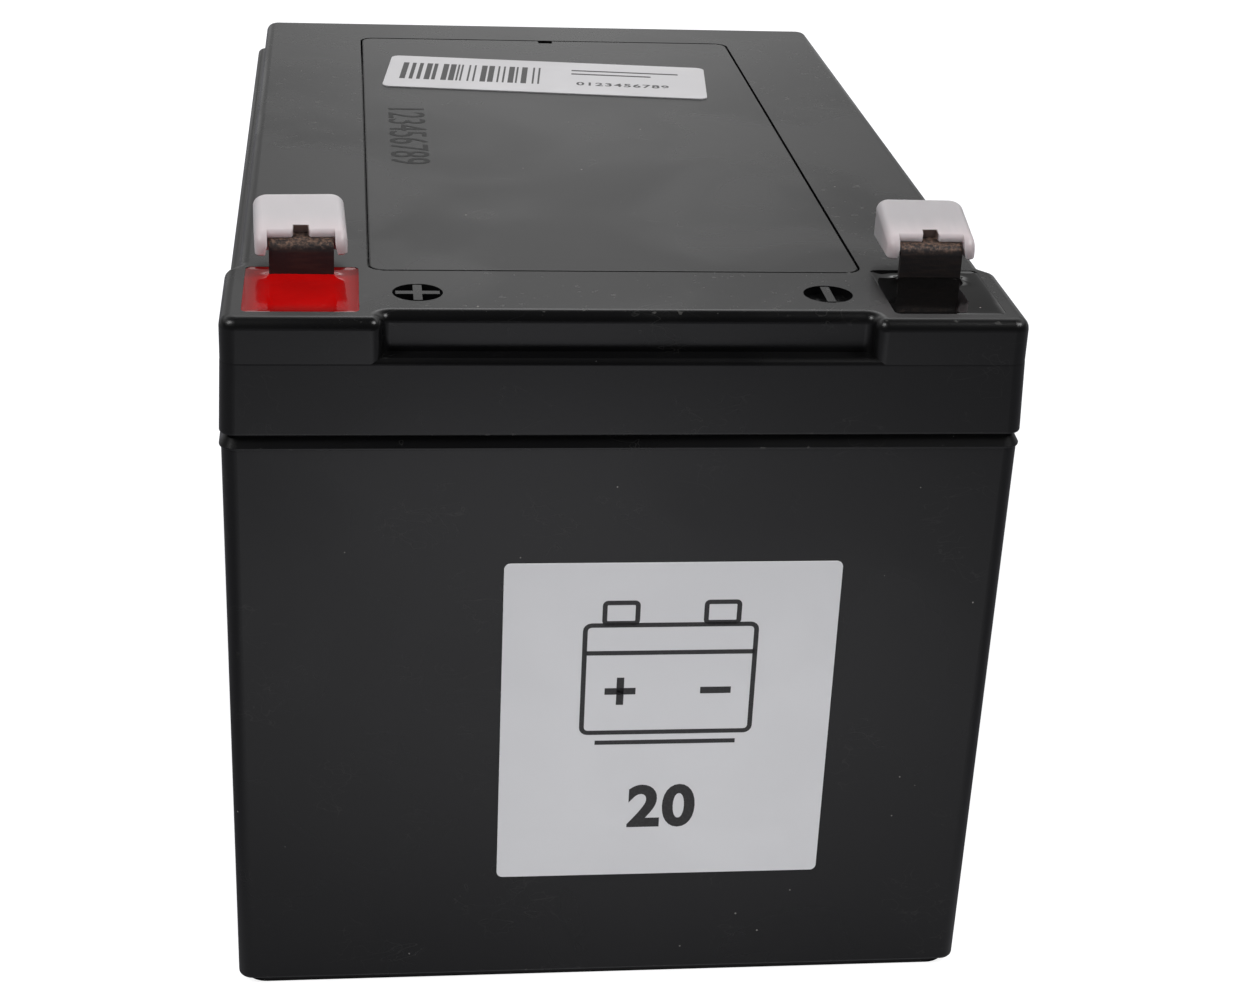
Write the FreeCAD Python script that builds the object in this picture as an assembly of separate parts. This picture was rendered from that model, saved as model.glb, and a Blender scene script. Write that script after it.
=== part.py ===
import FreeCAD, Part
import math
import os
from FreeCAD import Vector

# Twelve volt sealed lead acid battery, millimetres.
# X runs across the width, Y along the length with the terminals at the -Y end, Z up.
# The origin is the middle of the base.

# Overall size of the lid, which is the widest part
overall_width = 99.0
overall_length = 151.6
overall_height = 95.0

# Container, an open box with six cells
container_setback = 0.2
container_wall = 2.5
container_draft = 0.3
container_corner = 2.0
container_foot_edge = 0.5
floor_thickness = 2.5
foot_height = 0.9
foot_inset = 0.8
foot_corner = 3.0
bead_height = 1.6
bead_proud = 0.25
bead_bevel = 1.3
bead_bevel_depth = 0.75
bead_lower_edge = 0.2
joint_groove = 0.3
rim_setback = 0.6
rim_height = 3.0
cell_rows = 3
partition = 1.6
cell_corner = 0.8

# Lid outside
lid_skirt = 14.8
lid_draft = 0.3
lid_corner = 2.0
lid_edge = 0.8
lid_top_edge = 1.4
lid_top_corner_margin = 0.1
lid_lower_edge = 0.3
ledge_drop = 5.0
plateau_inset = 1.6
shoulder_width = 19.3
notch_depth = 2.8
shoulder_length = 18.5
shoulder_run = 2.0
outline_blend = 1.0
shoulder_overlap = 1.6

# Lid inside
rim_gap = 0.1
lid_rib = 1.7
lid_roof = 2.5
side_pocket_inset = 0.7

# Wells for the terminals
well_width = 14.0
well_length = 16.2
well_depth = 7.0
well_corner = 0.8
well_from_side = 9.6
well_from_front = 10.9

# Polarity marks moulded in the lid
mark_diameter = 6.2
mark_depth = 1.1
mark_from_side = 23.7
mark_from_front = 9.8
mark_bar = 1.1
mark_bar_length = 5.4

# Vent cover and the pocket that it closes
cover_from_side = 17.9
cover_from_front = 18.0
cover_from_rear = 13.0
cover_thickness = 2.0
cover_corner = 2.0
cover_gap = 0.25
cover_edge = 0.25
cover_ledge = 2.0
cover_slot_width = 2.4
cover_slot_length = 1.7
vent_pocket_depth = 7.5

# Vent chimneys and their rubber caps
chimney_diameter = 7.0
chimney_bore = 4.0
chimney_height = 3.8
chimney_inset = 5.2
chimney_wall_gap = 1.0
valve_diameter = 9.2
valve_top = 1.1
valve_skirt_clearance = 0.5
valve_gap = 0.05
valve_edge = 0.4
cover_pad_diameter = 5.0

# Plates, mats and cast straps in each cell
positive_thickness = 2.9
negative_thickness = 1.9
mat_thickness = 1.3
plate_side_gap = 0.5
lug_height = 4.0
mat_above_plate = 1.5
lug_width = 8.0
strap_width = 9.0
strap_below_rim = 10.6
strap_height = 4.0
strap_end_gap = 0.3
strap_edge = 0.6
tab_thickness = 3.0
tab_height = 8.5
weld_diameter = 6.0
weld_gap = 0.05
weld_above_strap = 4.5

# Posts, seal rings and terminals
post_diameter = 7.0
post_gap = 0.3
post_from_front = 9.5
post_rise = 2.5
stub_diameter = 4.0
stub_height = 1.1
stub_gap = 0.1
ring_height = 1.5
ring_width = 2.2
ring_edge = 0.35
strip_width = 7.95
strip_thickness = 0.8
strip_bend = 0.6
strip_from_front = 15.5
strip_rise = 4.1
foot_length = 9.4
blade_width = 6.35
blade_length = 7.9
blade_rise = 9.5
blade_tip_length = 1.6
blade_tip_width = 1.2
blade_hole = 1.8
blade_hole_from_tip = 3.6

# Resin cast round each terminal
resin_below_lid = 0.05
resin_mound_height = 0.4
resin_mound_spread = 1.2

# Protective sleeves pushed over the blades
cap_leg = 1.5
cap_leg_flare = 0.3
cap_roof = 0.85
cap_floor = 0.8
cap_drop = 1.25
cap_rise = 13.0
cap_play = 0.1
cap_slot_gap = 0.2
cap_front = 0.2
cap_brow = 0.85
cap_brow_round = 0.7
cap_over_cut = 0.01
cap_rear_wall = 0.8
cap_corner = 1.8
cap_edge = 1.0
cap_front_round = 2.0
cap_lower_edge = 0.2
cap_notch_width = 1.7
cap_notch_mouth = 2.4
cap_notch_length = 1.3
positive_cap_yaw = 3.0
negative_cap_yaw = -1.0

# Stickers
label_thickness = 0.15
front_label_width = 43.0
front_label_height = 46.4
front_label_bottom = 16.4
front_label_centre = 6.7
front_label_corner = 0.8
code_label_width = 51.8
code_label_length = 19.6
code_label_centre = -1.6
code_label_from_rear = 37.6
code_label_turn = -6.0
code_label_corner = 1.4

# Values that follow from the sizes above
UP = Vector(0, 0, 1)
ACROSS = Vector(1, 0, 0)
ALONG = Vector(0, 1, 0)
half_width = overall_width / 2
half_length = overall_length / 2
upper_half_width = half_width - lid_draft
upper_half_length = half_length - lid_draft
wall_half_width = half_width - container_setback
wall_half_length = half_length - container_setback
inner_half_width = wall_half_width - container_draft - container_wall
inner_half_length = wall_half_length - container_draft - container_wall
cell_width = inner_half_width - partition / 2
cell_length = (2 * inner_half_length - (cell_rows - 1) * partition) / cell_rows
cell_count = 2 * cell_rows
cell_floor = foot_height + floor_thickness
skirt_bottom = overall_height - lid_skirt
bead_top = skirt_bottom - joint_groove
rim_top = skirt_bottom + rim_height
ledge = overall_height - ledge_drop
well_floor = overall_height - well_depth
well_from_centre = upper_half_width - well_from_side
vent_floor = overall_height - vent_pocket_depth
lid_underside = rim_top + lid_rib
cover_width = 2 * (upper_half_width - cover_from_side)
cover_length = 2 * upper_half_length - cover_from_front - cover_from_rear
cover_underside = overall_height - cover_thickness
strap_bottom = rim_top - strap_below_rim
strap_top = strap_bottom + strap_height
weld_level = strap_bottom + weld_above_strap
plate_top = strap_bottom - lug_height
plate_width = cell_width - 2 * plate_side_gap
plate_pitch = positive_thickness + negative_thickness + 2 * mat_thickness
positive_count = int((cell_length - negative_thickness) // plate_pitch)
negative_count = positive_count + 1
stack_length = positive_count * plate_pitch + negative_thickness
post_top = well_floor + post_rise
strip_top = overall_height + strip_rise
resin_level = overall_height - resin_below_lid
blade_start = strip_bend + strip_thickness
blade_tip = blade_start + blade_length


def from_front(distance):
    """Y of a place given by its distance behind the front face of the upper lid."""
    return distance - upper_half_length


def rounded_wire(points, radii, origin, u_axis, v_axis):
    """Closed outline in the plane of two axes, with an arc of its own radius at each corner."""
    def place(u, v):
        return origin + u_axis * u + v_axis * v

    count = len(points)
    starts, mids, ends = [], [], []
    for i in range(count):
        before, here, after = points[i - 1], points[i], points[(i + 1) % count]
        back = (before[0] - here[0], before[1] - here[1])
        ahead = (after[0] - here[0], after[1] - here[1])
        back_length = math.hypot(*back)
        ahead_length = math.hypot(*ahead)
        back = (back[0] / back_length, back[1] / back_length)
        ahead = (ahead[0] / ahead_length, ahead[1] / ahead_length)
        half_angle = math.acos(max(-1.0, min(1.0, back[0] * ahead[0] + back[1] * ahead[1]))) / 2
        reach = radii[i] / math.tan(half_angle)
        starts.append((here[0] + back[0] * reach, here[1] + back[1] * reach))
        ends.append((here[0] + ahead[0] * reach, here[1] + ahead[1] * reach))
        bisector = (back[0] + ahead[0], back[1] + ahead[1])
        size = math.hypot(*bisector)
        inset = radii[i] / math.sin(half_angle) - radii[i]
        mids.append((here[0] + bisector[0] / size * inset, here[1] + bisector[1] / size * inset))
    edges = []
    for i in range(count):
        if radii[i] > 0:
            arc = Part.Arc(place(*starts[i]), place(*mids[i]), place(*ends[i]))
            edges.append(arc.toShape())
        nxt = (i + 1) % count
        side = place(*starts[nxt]) - place(*ends[i])
        if side.Length > 1e-6:
            edges.append(Part.LineSegment(place(*ends[i]), place(*starts[nxt])).toShape())
    return Part.Wire(edges)


def rectangle(centre_x, centre_y, width, length, radius, level):
    """Rectangle with round corners, lying flat at a height."""
    x0, x1 = centre_x - width / 2, centre_x + width / 2
    y0, y1 = centre_y - length / 2, centre_y + length / 2
    corners = [(x0, y0), (x1, y0), (x1, y1), (x0, y1)]
    return rounded_wire(corners, [radius] * 4, Vector(0, 0, level), ACROSS, ALONG)


def slab(centre_x, centre_y, width, length, radius, bottom, top):
    """Upright block with a rectangular plan and round corners."""
    wire = rectangle(centre_x, centre_y, width, length, radius, bottom)
    return Part.Face(wire).extrude(UP * (top - bottom))


def disc(centre_x, centre_y, diameter, bottom, top):
    """Upright cylinder."""
    return Part.makeCylinder(diameter / 2, top - bottom, Vector(centre_x, centre_y, bottom), UP)


def level_edges(shape, level, keep):
    """Edges that lie at one height and whose middle passes a test."""
    found = []
    for edge in shape.Edges:
        heights = [vertex.Z for vertex in edge.Vertexes]
        if max(abs(height - level) for height in heights) < 1e-4:
            middle = edge.valueAt((edge.FirstParameter + edge.LastParameter) / 2)
            if abs(middle.z - level) < 1e-4 and keep(middle):
                found.append(edge)
    return found


def everywhere(point):
    """Test that every edge passes."""
    return True


def cell_place(index):
    """Middle of a cell and the side of the centre line that it is on, in the order of the series chain."""
    side = -1 if index < cell_rows else 1
    row = index if index < cell_rows else 2 * cell_rows - 1 - index
    x = side * (partition + cell_width) / 2
    y = -inner_half_length + cell_length / 2 + row * (cell_length + partition)
    return x, y, side


def strap_x(index, positive):
    """X of a strap: outer and inner places swap from cell to cell, so that the chain lines up."""
    x, y, side = cell_place(index)
    outer = positive if index % 2 == 0 else not positive
    outward = side if outer else -side
    return x + outward * (well_from_centre - (partition + cell_width) / 2)


def link_place(index):
    """Centre and direction of the weld through the partition between a cell and the next one."""
    x0, y0, side0 = cell_place(index)
    x1, y1, side1 = cell_place(index + 1)
    if side0 != side1:
        return Vector(0, y0, weld_level), ACROSS
    return Vector(strap_x(index, False), (y0 + y1) / 2, weld_level), ALONG


def make_bead(bottom):
    """Band round the container under the joint, with a bevel that falls away from the lid."""
    def outline(extra, level):
        width = 2 * (wall_half_width + extra)
        length = 2 * (wall_half_length + extra)
        return rectangle(0, 0, width, length, container_corner + extra, level)

    bevel = bead_top - bead_bevel
    inner = bead_proud - bead_bevel_depth
    band = Part.makeLoft([outline(bead_proud, bottom), outline(bead_proud, bevel)], True, True)
    band = band.makeFillet(bead_lower_edge, level_edges(band, bottom, everywhere))
    return band.fuse(Part.makeLoft([outline(bead_proud, bevel), outline(inner, bead_top)], True, True))


def make_container():
    """Drafted box on a foot pad, with a bead under the joint, a rim and six cells."""
    middle = bead_top - bead_height
    low = rectangle(
        0, 0, 2 * (wall_half_width - container_draft), 2 * (wall_half_length - container_draft),
        container_corner, foot_height,
    )
    high = rectangle(0, 0, 2 * wall_half_width, 2 * wall_half_length, container_corner, middle)
    wall = Part.makeLoft([low, high], True, True)
    wall = wall.makeFillet(container_foot_edge, level_edges(wall, foot_height, everywhere))
    pad_cut = container_draft + foot_inset
    pad = slab(
        0, 0, 2 * (wall_half_width - pad_cut), 2 * (wall_half_length - pad_cut),
        foot_corner, 0, cell_floor,
    )
    bead = make_bead(middle)
    rim = slab(
        0, 0, 2 * (wall_half_width - rim_setback), 2 * (wall_half_length - rim_setback),
        container_corner - rim_setback, cell_floor, rim_top,
    )
    body = wall.fuse([pad, bead, rim]).removeSplitter()
    for index in range(cell_count):
        x, y, side = cell_place(index)
        body = body.cut(slab(x, y, cell_width, cell_length, cell_corner, cell_floor, rim_top))
    for index in range(cell_count - 1):
        centre, direction = link_place(index)
        length = partition + 2 * cell_corner
        start = centre - direction * (length / 2)
        body = body.cut(Part.makeCylinder(weld_diameter / 2 + weld_gap, length, start, direction))
    return body


def lid_plan():
    """Corners and radii of the upper lid: two full-width front shoulders, a notch and an inset rear."""
    front = -upper_half_length
    rear = upper_half_length - plateau_inset
    inner = upper_half_width - plateau_inset
    step = front + shoulder_length
    blend = step + shoulder_run
    notch = upper_half_width - shoulder_width
    convex = lid_top_edge + lid_top_corner_margin
    right = [
        (notch, front + notch_depth, outline_blend),
        (notch, front, convex),
        (upper_half_width, front, lid_corner),
        (upper_half_width, step, convex),
        (inner, blend, outline_blend),
        (inner, rear, lid_corner),
    ]
    left = [(-x, y, radius) for x, y, radius in reversed(right)]
    corners = right + left
    return [(x, y) for x, y, radius in corners], [radius for x, y, radius in corners]


def lid_outside():
    """Drafted skirt block and upper block in one, with all outer edges rounded."""
    foot = rectangle(0, 0, overall_width, overall_length, lid_corner, skirt_bottom)
    head = rectangle(0, 0, 2 * upper_half_width, 2 * upper_half_length, lid_corner, ledge)
    lower = Part.makeLoft([foot, head], True, True)
    lower = lower.makeFillet(lid_edge, level_edges(lower, ledge, everywhere))
    lower = lower.makeFillet(lid_lower_edge, level_edges(lower, skirt_bottom, everywhere))
    points, radii = lid_plan()
    start = ledge - shoulder_overlap
    plan = rounded_wire(points, radii, Vector(0, 0, start), ACROSS, ALONG)
    upper = Part.Face(plan).extrude(UP * (overall_height - start))
    upper = upper.makeFillet(lid_top_edge, level_edges(upper, overall_height, everywhere))
    return lower.fuse(upper).removeSplitter()


def mark_recess(side):
    """Round recess with a bar left standing in it, and a second bar across it on the positive side."""
    x = side * (upper_half_width - mark_from_side)
    y = from_front(mark_from_front)
    low = overall_height - mark_depth
    recess = disc(x, y, mark_diameter, low, overall_height)
    bars = [slab(x, y, mark_bar, mark_bar_length, 0, low, overall_height)]
    if side < 0:
        bars.append(slab(x, y, mark_bar_length, mark_bar, 0, low, overall_height))
    return recess.cut(bars)


def lid_pockets():
    """Hollows under the lid that keep its walls even: one beside the vent pocket in each cell."""
    inner_wall = cover_width / 2 + cover_gap + lid_roof
    outer_wall = inner_half_width - side_pocket_inset
    width = outer_wall - inner_wall
    roof = overall_height - lid_roof
    pockets = []
    for index in range(cell_count):
        x, y, side = cell_place(index)
        start = max(y - cell_length / 2, from_front(well_from_front + well_length / 2 + lid_roof))
        end = y + cell_length / 2 - side_pocket_inset
        centre_x = side * (inner_wall + outer_wall) / 2
        pockets.append(
            slab(centre_x, (start + end) / 2, width, end - start, cell_corner, lid_underside, roof)
        )
    front_end = from_front(cover_from_front - cover_gap - lid_roof)
    front_start = from_front(notch_depth + lid_roof)
    front_width = well_from_centre - well_width / 2 - lid_roof - partition
    for side in (-1, 1):
        centre_x = side * (partition + front_width / 2)
        centre_y = (front_start + front_end) / 2
        length = front_end - front_start
        pockets.append(slab(centre_x, centre_y, front_width, length, cell_corner, lid_underside, roof))
    return pockets


def chimney_places():
    """Plan position of the vent chimney over each cell, with room for its rubber cap in the pocket."""
    room = cover_ledge + valve_diameter / 2 + chimney_wall_gap
    nearest = from_front(cover_from_front + room)
    furthest = from_front(2 * upper_half_length - cover_from_rear - room)
    places = []
    for index in range(cell_count):
        x, y, side = cell_place(index)
        places.append((x - side * chimney_inset, min(max(y, nearest), furthest)))
    return places


def make_lid():
    """Moulded lid: rim groove, cell ribs, hollows, terminal wells, vent pocket with chimneys and marks."""
    body = lid_outside()
    rim_width = 2 * (wall_half_width - rim_setback + rim_gap)
    rim_length = 2 * (wall_half_length - rim_setback + rim_gap)
    cuts = [slab(0, 0, rim_width, rim_length, container_corner - rim_setback, skirt_bottom, rim_top)]
    for index in range(cell_count):
        x, y, side = cell_place(index)
        cuts.append(slab(x, y, cell_width, cell_length, cell_corner, rim_top, lid_underside))
    cuts += lid_pockets()
    well_y = from_front(well_from_front)
    post_y = from_front(post_from_front)
    for side in (-1, 1):
        x = side * well_from_centre
        cuts.append(slab(x, well_y, well_width, well_length, well_corner, well_floor, overall_height))
        ring_outside = post_diameter + 2 * ring_width
        cuts.append(disc(x, post_y, ring_outside, well_floor - ring_height, well_floor))
        cuts.append(disc(x, post_y, post_diameter + 2 * post_gap, lid_underside, well_floor))
        cuts.append(mark_recess(side))
    cover_y = from_front(cover_from_front + cover_length / 2)
    seat_width = cover_width + 2 * cover_gap
    seat_length = cover_length + 2 * cover_gap
    seat_corner = cover_corner + cover_gap
    cuts.append(slab(0, cover_y, seat_width, seat_length, seat_corner, cover_underside, overall_height))
    pocket = slab(
        0, cover_y, cover_width - 2 * cover_ledge, cover_length - 2 * cover_ledge,
        cover_corner, vent_floor, cover_underside,
    )
    for x, y in chimney_places():
        pocket = pocket.cut(disc(x, y, chimney_diameter, vent_floor, vent_floor + chimney_height))
        cuts.append(disc(x, y, chimney_bore, lid_underside, vent_floor + chimney_height))
    cuts.append(pocket)
    return body.cut(cuts)


def make_vent_cover():
    """Flat cover with a rounded edge, a slot at its rear edge and a pad over each valve."""
    y = from_front(cover_from_front + cover_length / 2)
    panel = slab(0, y, cover_width, cover_length, cover_corner, cover_underside, overall_height)
    panel = panel.makeFillet(cover_edge, level_edges(panel, overall_height, everywhere))
    slot_y = from_front(cover_from_front + cover_length) - cover_slot_length / 2
    panel = panel.cut(
        slab(0, slot_y, cover_slot_width, cover_slot_length, 0, cover_underside, overall_height)
    )
    valve_level = vent_floor + chimney_height + valve_top
    pads = [disc(px, py, cover_pad_diameter, valve_level, cover_underside) for px, py in chimney_places()]
    return panel.fuse(pads).removeSplitter()


def make_valve(index):
    """Rubber cap with a closed top and a bevelled rim, turned about the chimney that it sits on."""
    x, y = chimney_places()[index]
    outer = valve_diameter / 2
    inner = chimney_diameter / 2 + valve_gap
    low = vent_floor + valve_skirt_clearance
    inside_top = vent_floor + chimney_height
    high = inside_top + valve_top
    points = [
        (0, inside_top), (inner, inside_top), (inner, low), (outer, low),
        (outer, high - valve_edge), (outer - valve_edge, high), (0, high),
    ]
    profile = rounded_wire(points, [0] * len(points), Vector(x, y, 0), ACROSS, UP)
    return Part.Face(profile).revolve(Vector(x, y, 0), UP, 360)


def stack_positions(index):
    """Y of the near face of each negative and positive plate, which alternate with mats between them."""
    x, y, side = cell_place(index)
    start = y - stack_length / 2
    negatives = [start + i * plate_pitch for i in range(negative_count)]
    positives = [near + negative_thickness + mat_thickness for near in negatives[:-1]]
    return negatives, positives


def plate(index, y, thickness, bottom, lug_x):
    """Pasted plate with the lug of its grid standing up to the strap."""
    x, cell_y, side = cell_place(index)
    left, right = x - plate_width / 2, x + plate_width / 2
    lug_left, lug_right = lug_x - lug_width / 2, lug_x + lug_width / 2
    points = [
        (left, bottom), (right, bottom), (right, plate_top), (lug_right, plate_top),
        (lug_right, strap_bottom), (lug_left, strap_bottom), (lug_left, plate_top), (left, plate_top),
    ]
    wire = rounded_wire(points, [0] * len(points), Vector(0, y, 0), ACROSS, UP)
    return Part.Face(wire).extrude(ALONG * thickness)


def strap(index, x):
    """Cast bar that joins the lugs of one polarity, rounded along its top."""
    cell_x, y, side = cell_place(index)
    length = cell_length - 2 * strap_end_gap
    bar = slab(x, y, strap_width, length, 0, strap_bottom, strap_top)
    return bar.makeFillet(strap_edge, level_edges(bar, strap_top, everywhere))


def link_tab(index, link, x):
    """Upright tab of a strap against the partition, with the round boss that is welded through it."""
    cell_x, cell_y, side = cell_place(index)
    centre, direction = link_place(link)
    middle = Vector(cell_x, cell_y, 0)
    towards = 1 if (middle - centre).dot(direction) > 0 else -1
    face = centre + direction * (towards * partition / 2)
    tab_centre = face + direction * (towards * tab_thickness / 2)
    top = strap_bottom + tab_height
    if direction == ALONG:
        tab = slab(x, tab_centre.y, strap_width, tab_thickness, 0, strap_bottom, top)
    else:
        reach = abs(x) + strap_width / 2 - abs(face.x)
        foot_x = face.x + towards * reach / 2
        tab = slab(tab_centre.x, centre.y, tab_thickness, strap_width, 0, strap_bottom, top)
        tab = tab.fuse(slab(foot_x, centre.y, reach, strap_width, 0, strap_bottom, strap_top))
    boss_length = partition / 2 + tab_thickness / 2
    boss = Part.makeCylinder(weld_diameter / 2, boss_length, centre, direction * towards)
    return tab.fuse(boss)


def post(side):
    """Round post cast on the end strap, with a stub that the terminal is soldered to."""
    x = side * well_from_centre
    y = from_front(post_from_front)
    shaft = disc(x, y, post_diameter, strap_bottom, post_top)
    return shaft.fuse(disc(x, y, stub_diameter, strap_bottom, post_top + stub_height))


def make_plate_group(index, positive):
    """Plates of one polarity in one cell with their strap, link tabs and, at the chain's ends, a post."""
    negatives, positives = stack_positions(index)
    x = strap_x(index, positive)
    thickness = positive_thickness if positive else negative_thickness
    bottom = cell_floor + mat_thickness if positive else cell_floor
    places = positives if positive else negatives
    parts = [plate(index, y, thickness, bottom, x) for y in places]
    link = index - 1 if positive else index
    if 0 <= link < cell_count - 1:
        parts.append(link_tab(index, link, x))
    else:
        parts.append(post(cell_place(index)[2]))
    return strap(index, x).fuse(parts).removeSplitter()


def make_mats(index):
    """Glass fibre mats of one cell, each folded up round a positive plate."""
    negatives, positives = stack_positions(index)
    x, cell_y, side = cell_place(index)
    top = plate_top + mat_above_plate
    corner = min(mat_thickness, negative_thickness) * 0.9
    mats = []
    for y in positives:
        near, far = y - mat_thickness, y + positive_thickness + mat_thickness
        points = [
            (near, cell_floor), (far, cell_floor), (far, top), (y + positive_thickness, top),
            (y + positive_thickness, cell_floor + mat_thickness), (y, cell_floor + mat_thickness),
            (y, top), (near, top),
        ]
        radii = [corner, corner, 0, 0, 0, 0, 0, 0]
        origin = Vector(x - plate_width / 2, 0, 0)
        wire = rounded_wire(points, radii, origin, ALONG, UP)
        mats.append(Part.Face(wire).extrude(ACROSS * plate_width))
    return mats[0].fuse(mats[1:]) if len(mats) > 1 else mats[0]


def make_seal_ring(side):
    """Rubber ring with bevelled upper edges round the post, in its seat in the floor of the well."""
    middle = Vector(side * well_from_centre, from_front(post_from_front), 0)
    inner = post_diameter / 2
    outer = inner + ring_width
    low = well_floor - ring_height
    points = [
        (inner, low), (outer, low), (outer, well_floor - ring_edge), (outer - ring_edge, well_floor),
        (inner + ring_edge, well_floor), (inner, well_floor - ring_edge),
    ]
    wire = rounded_wire(points, [0] * len(points), middle, ACROSS, UP)
    return Part.Face(wire).revolve(middle, UP, 360)


def offset_path(points, distance):
    """Corner points of an open path moved sideways by a distance, with mitred corners."""
    moved = []
    for i, (u, v) in enumerate(points):
        normals = []
        for j in (i - 1, i):
            if 0 <= j < len(points) - 1:
                du, dv = points[j + 1][0] - points[j][0], points[j + 1][1] - points[j][1]
                size = math.hypot(du, dv)
                normals.append((-dv / size, du / size))
        nu = sum(normal[0] for normal in normals)
        nv = sum(normal[1] for normal in normals)
        scale = distance * len(normals) / (nu * nu + nv * nv)
        moved.append((u + nu * scale, v + nv * scale))
    return moved


def blade_frame(side, shape):
    """Takes a shape drawn about the upper bend, with its blade along +Y, to its place on the battery."""
    shape.rotate(Vector(0, 0, 0), ACROSS, blade_rise)
    shape.translate(Vector(side * well_from_centre, from_front(strip_from_front), strip_top))
    return shape


def make_terminal(side):
    """Strip terminal: soldered foot, upright through the resin, and a blade bent to the rear."""
    x = side * well_from_centre
    riser = from_front(strip_from_front)
    foot_level = post_top + strip_thickness / 2
    rise = math.radians(blade_rise)
    path = [
        (riser - foot_length, foot_level),
        (riser, foot_level),
        (riser, strip_top),
        (riser + blade_start * math.cos(rise), strip_top + blade_start * math.sin(rise)),
    ]
    left = offset_path(path, strip_thickness / 2)
    right = offset_path(path, -strip_thickness / 2)
    tight, wide = strip_bend, strip_bend + strip_thickness
    points = left + right[::-1]
    radii = [0, tight, wide, 0, 0, tight, wide, 0]
    wire = rounded_wire(points, radii, Vector(x - strip_width / 2, 0, 0), ALONG, UP)
    strip = Part.Face(wire).extrude(ACROSS * strip_width)
    hole = disc(x, from_front(post_from_front), stub_diameter + 2 * stub_gap, post_top, resin_level)
    strip = strip.cut(hole)
    half, half_tip = blade_width / 2, blade_width / 2 - blade_tip_width / 2
    shoulder = blade_tip - blade_tip_length
    outline = [
        (-half, blade_start), (half, blade_start), (half, shoulder),
        (half_tip, blade_tip), (-half_tip, blade_tip), (-half, shoulder),
    ]
    under = Vector(0, 0, -strip_thickness / 2)
    wire = rounded_wire(outline, [0] * len(outline), under, ACROSS, ALONG)
    blade = Part.Face(wire).extrude(UP * strip_thickness)
    centre = Vector(0, blade_tip - blade_hole_from_tip, -strip_thickness / 2)
    blade = blade.cut(Part.makeCylinder(blade_hole / 2, strip_thickness, centre, UP))
    return strip.fuse(blade_frame(side, blade)).removeSplitter()


def make_resin(side):
    """Resin that fills the well round the post and terminal, drawn up where it wets the strip."""
    x = side * well_from_centre
    y = from_front(well_from_front)
    fill = slab(x, y, well_width, well_length, well_corner, well_floor, resin_level)
    riser = from_front(strip_from_front)
    wide = rectangle(
        x, riser, strip_width + 2 * resin_mound_spread, strip_thickness + 2 * resin_mound_spread,
        resin_mound_spread / 2, resin_level,
    )
    narrow = rectangle(
        x, riser, strip_width + strip_thickness, 2 * strip_thickness,
        resin_mound_spread / 8, resin_level + resin_mound_height,
    )
    mound = Part.makeLoft([wide, narrow], True, True)
    return fill.fuse(mound).removeSplitter().cut([make_terminal(side), post(side)])


def prism(points, radii, width):
    """Side outline in Y and Z, carried an even distance to both sides of the middle."""
    outline = rounded_wire(points, radii, Vector(-width / 2, 0, 0), ALONG, UP)
    return Part.Face(outline).extrude(ACROSS * width)


def above_blade(y, distance):
    """Height of a line parallel to the blade, at a distance over its middle, drawn about the upper bend."""
    rise = math.radians(blade_rise)
    return y * math.tan(rise) + distance / math.cos(rise)


def cap_top(y):
    """Height of the sloping top of a sleeve."""
    brow_level = above_blade(cap_brow, strip_thickness / 2 + cap_play) + cap_roof
    return brow_level + (y - cap_brow) * math.tan(math.radians(cap_rise))


def cap_outside(front, rear, width):
    """Soft wedge: level below, a top that slopes up to the rear and curves down over the legs in front."""
    low = -cap_drop
    side_view = [(front, low), (rear, low), (rear, cap_top(rear)), (front, cap_top(front))]
    body = prism(side_view, [0, 0, 0, cap_front_round], width)
    half = width / 2
    corners = [(-half, front), (half, front), (half, rear), (-half, rear)]
    radii = [0, 0, cap_corner, cap_corner]
    plan = rounded_wire(corners, radii, Vector(0, 0, low), ACROSS, ALONG)
    body = body.common(Part.Face(plan).extrude(UP * (cap_top(rear) - low)))
    body = body.makeFillet(cap_edge, level_edges(body, cap_top(rear), everywhere))
    return body.makeFillet(cap_lower_edge, level_edges(body, low, everywhere))


def cap_mouth(front, end, width):
    """Opening for the upright strip, wider at the foot of the legs, with the roof set back and rounded."""
    roof = strip_thickness / 2 + cap_play
    high = cap_top(end) + cap_roof
    side_view = [
        (front - cap_front, -2 * cap_drop), (end, -2 * cap_drop), (end, above_blade(end, roof)),
        (cap_brow, above_blade(cap_brow, roof)), (cap_brow, cap_top(cap_brow) + cap_over_cut),
        (end, cap_top(end) + cap_over_cut), (end, high), (front - cap_front, high),
    ]
    opening = prism(side_view, [0, 0, 0, 0, cap_brow_round, 0, 0, 0], width + 4 * cap_leg_flare)
    half = width / 2
    wide = half + 2 * cap_leg_flare
    front_view = [
        (-wide, -2 * cap_drop), (wide, -2 * cap_drop), (half, 0),
        (half, high), (-half, high), (-half, 0),
    ]
    outline = rounded_wire(front_view, [0] * len(front_view), ALONG * (front - cap_front), ACROSS, UP)
    return opening.common(Part.Face(outline).extrude(ALONG * (end - front + cap_front)))


def cap_notch(high):
    """Tapered notch in the front edge of the roof."""
    mouth, inner = cap_notch_mouth / 2, cap_notch_width / 2
    waist_y = cap_brow + cap_notch_length / 3
    end_y = cap_brow + cap_notch_length
    waist = (mouth + 2 * inner) / 3
    plan = [
        (-mouth, 0), (mouth, 0), (mouth, cap_brow), (waist, waist_y),
        (inner, end_y), (-inner, end_y), (-waist, waist_y), (-mouth, cap_brow),
    ]
    level = strip_thickness / 2
    outline = rounded_wire(plan, [0] * len(plan), UP * level, ACROSS, ALONG)
    return Part.Face(outline).extrude(UP * (high - level))


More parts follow.
